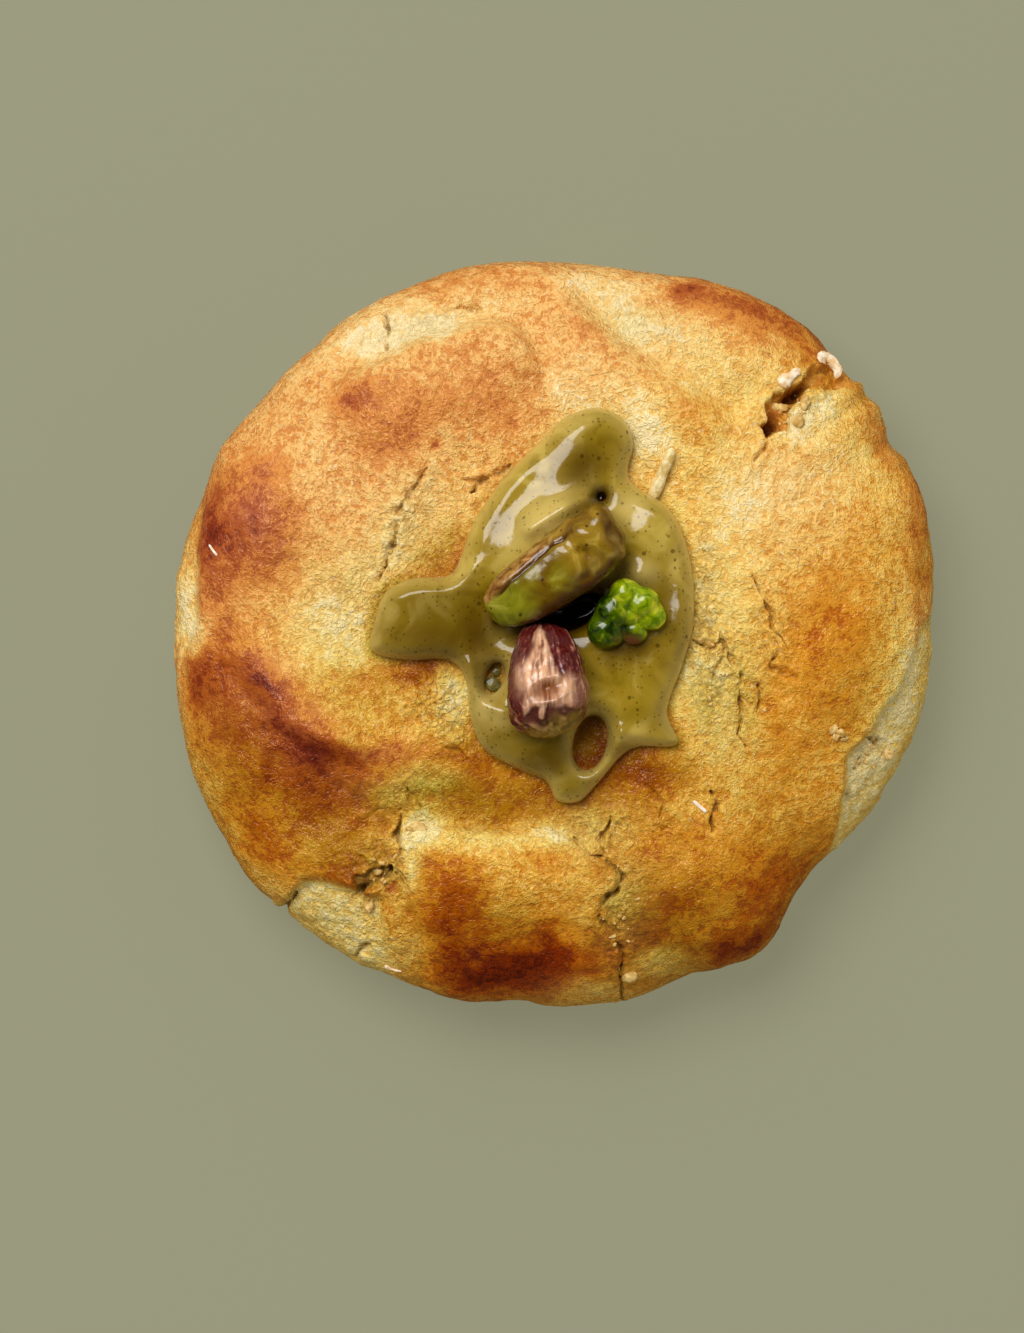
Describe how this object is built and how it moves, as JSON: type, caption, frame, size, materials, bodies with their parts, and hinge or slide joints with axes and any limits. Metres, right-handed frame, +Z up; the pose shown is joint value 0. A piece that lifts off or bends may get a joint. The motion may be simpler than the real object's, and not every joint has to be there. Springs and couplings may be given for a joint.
{
  "type": "pistachio cookie",
  "caption": "Thick round baked cookie with folded, cracked crust, topped with a spill of glossy pistachio cream and shelled pistachio kernels.",
  "frame": {"origin": "middle of the cookie's flat base, below the middle of its outer box", "axes": "+Z up through the crown, -Y towards the lower edge of the picture, +X towards its right edge"},
  "size_m": [0.0803, 0.079, 0.0267],
  "materials": {
    "crust": "matt golden-brown baked crust",
    "cream": "glossy olive-green pistachio cream",
    "coated_nut": "kernel under a thin coat of cream",
    "green_nut": "bare green kernel, satin",
    "skinned_nut": "kernel in its purple-pink skin, satin"
  },
  "bodies": {
    "root": {"cookie": "crust", "pistachio_cream": "cream", "kernel_coated": "coated_nut", "kernel_green": "green_nut", "kernel_skinned": "skinned_nut"}
  },
  "joints": []
}
